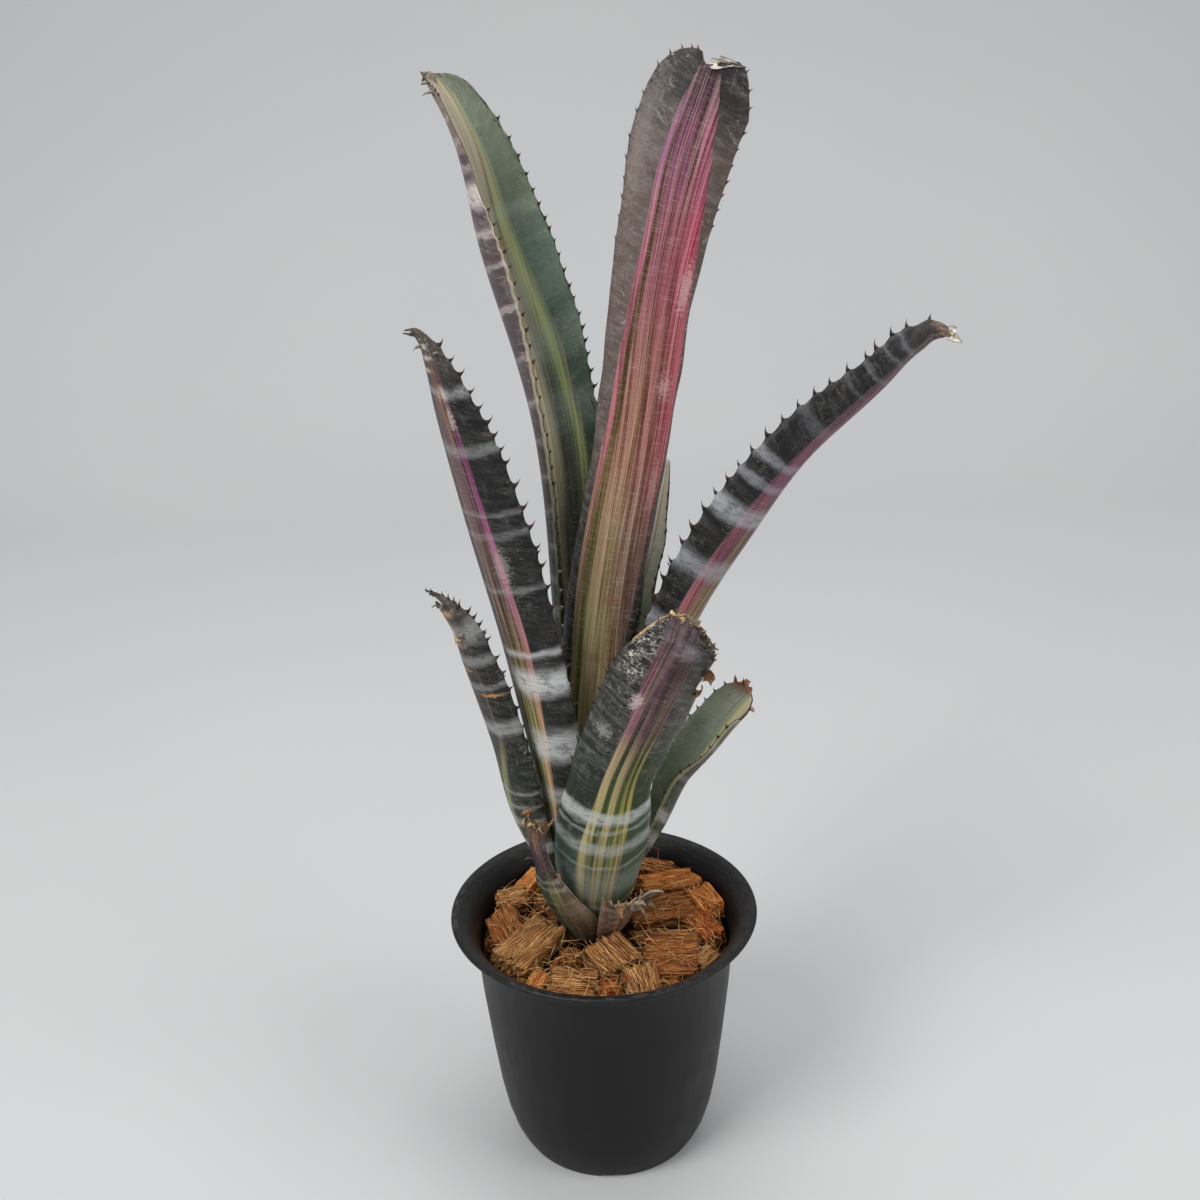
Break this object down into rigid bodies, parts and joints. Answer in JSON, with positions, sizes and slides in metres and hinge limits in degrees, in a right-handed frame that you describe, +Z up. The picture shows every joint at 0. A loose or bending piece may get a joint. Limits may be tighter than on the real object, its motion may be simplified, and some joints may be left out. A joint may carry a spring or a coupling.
{
  "type": "potted aechmea",
  "caption": "Banded, striped aechmea with stiff strap leaves in an upright open rosette, rooted in coconut husk chips in a flared round nursery pot.",
  "frame": {"origin": "middle of the pot's underside, on the surface it stands on", "axes": "+Z up along the pot's axis, +X to the side that the arching leaf leans to, -Y to the front where the short broad leaf stands"},
  "size_m": [0.2323, 0.15, 0.5292],
  "materials": {
    "black_plastic": "matte",
    "leaf_blade": "satin",
    "leaf_dry": "matte",
    "husk_chip": "matte",
    "husk_fill": "matte",
    "stem": "matte"
  },
  "bodies": {
    "root": {"pot": "black_plastic", "rosette_stem": "stem", "husk_bed": "husk_fill", "husk_chip_01": "husk_chip", "husk_chip_02": "husk_chip", "husk_chip_03": "husk_chip", "husk_chip_04": "husk_chip", "husk_chip_05": "husk_chip", "husk_chip_06": "husk_chip", "husk_chip_07": "husk_chip", "husk_chip_08": "husk_chip", "husk_chip_09": "husk_chip", "husk_chip_10": "husk_chip", "husk_chip_11": "husk_chip", "husk_chip_12": "husk_chip", "husk_chip_13": "husk_chip", "husk_chip_14": "husk_chip", "husk_chip_15": "husk_chip", "husk_chip_16": "husk_chip", "husk_chip_17": "husk_chip", "husk_chip_18": "husk_chip", "husk_chip_19": "husk_chip", "husk_chip_20": "husk_chip", "husk_chip_21": "husk_chip", "husk_chip_22": "husk_chip", "husk_chip_23": "husk_chip", "leaf_centre_tall": "leaf_blade", "leaf_rear_left": "leaf_blade", "leaf_mid_left": "leaf_blade", "leaf_right_arching": "leaf_blade", "leaf_front_short": "leaf_blade", "leaf_right_low": "leaf_blade", "leaf_left_low": "leaf_blade", "leaf_rear_thin": "leaf_blade", "leaf_stub_old": "leaf_dry", "leaf_sheath_dry": "leaf_dry"}
  },
  "joints": []
}
